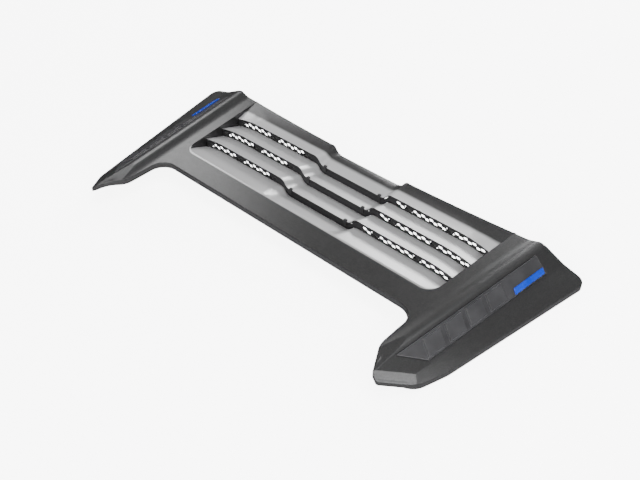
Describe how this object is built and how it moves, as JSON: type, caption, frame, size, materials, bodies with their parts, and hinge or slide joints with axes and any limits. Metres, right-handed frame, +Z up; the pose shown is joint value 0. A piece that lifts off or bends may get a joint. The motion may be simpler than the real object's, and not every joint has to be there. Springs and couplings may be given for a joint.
{
  "type": "hood bezel",
  "caption": "Wide moulded vehicle hood bezel with two splayed badge arms, a louvred vent with honeycomb mesh inserts, a lowered centre channel and mounting studs underneath.",
  "frame": {"origin": "middle of the bezel's box on the plane of its outer rims", "axes": "+X across the hood to the right, +Y to the rear, +Z up out of the hood"},
  "size_m": [0.7948, 0.3625, 0.0421],
  "materials": {
    "graphite_paint": "satin metallic paint",
    "mesh_black": "matte moulded",
    "nameplate_black": "gloss",
    "accent_blue": "gloss",
    "stud_steel": "zinc plated"
  },
  "bodies": {
    "root": {"bezel_shell": "graphite_paint", "vent_insert_front": "mesh_black", "vent_insert_middle": "mesh_black", "vent_insert_rear": "mesh_black", "nameplate_left": "nameplate_black", "nameplate_right": "nameplate_black", "accent_bar_left": "accent_blue", "accent_bar_right": "accent_blue", "mounting_studs": "stud_steel"}
  },
  "joints": []
}
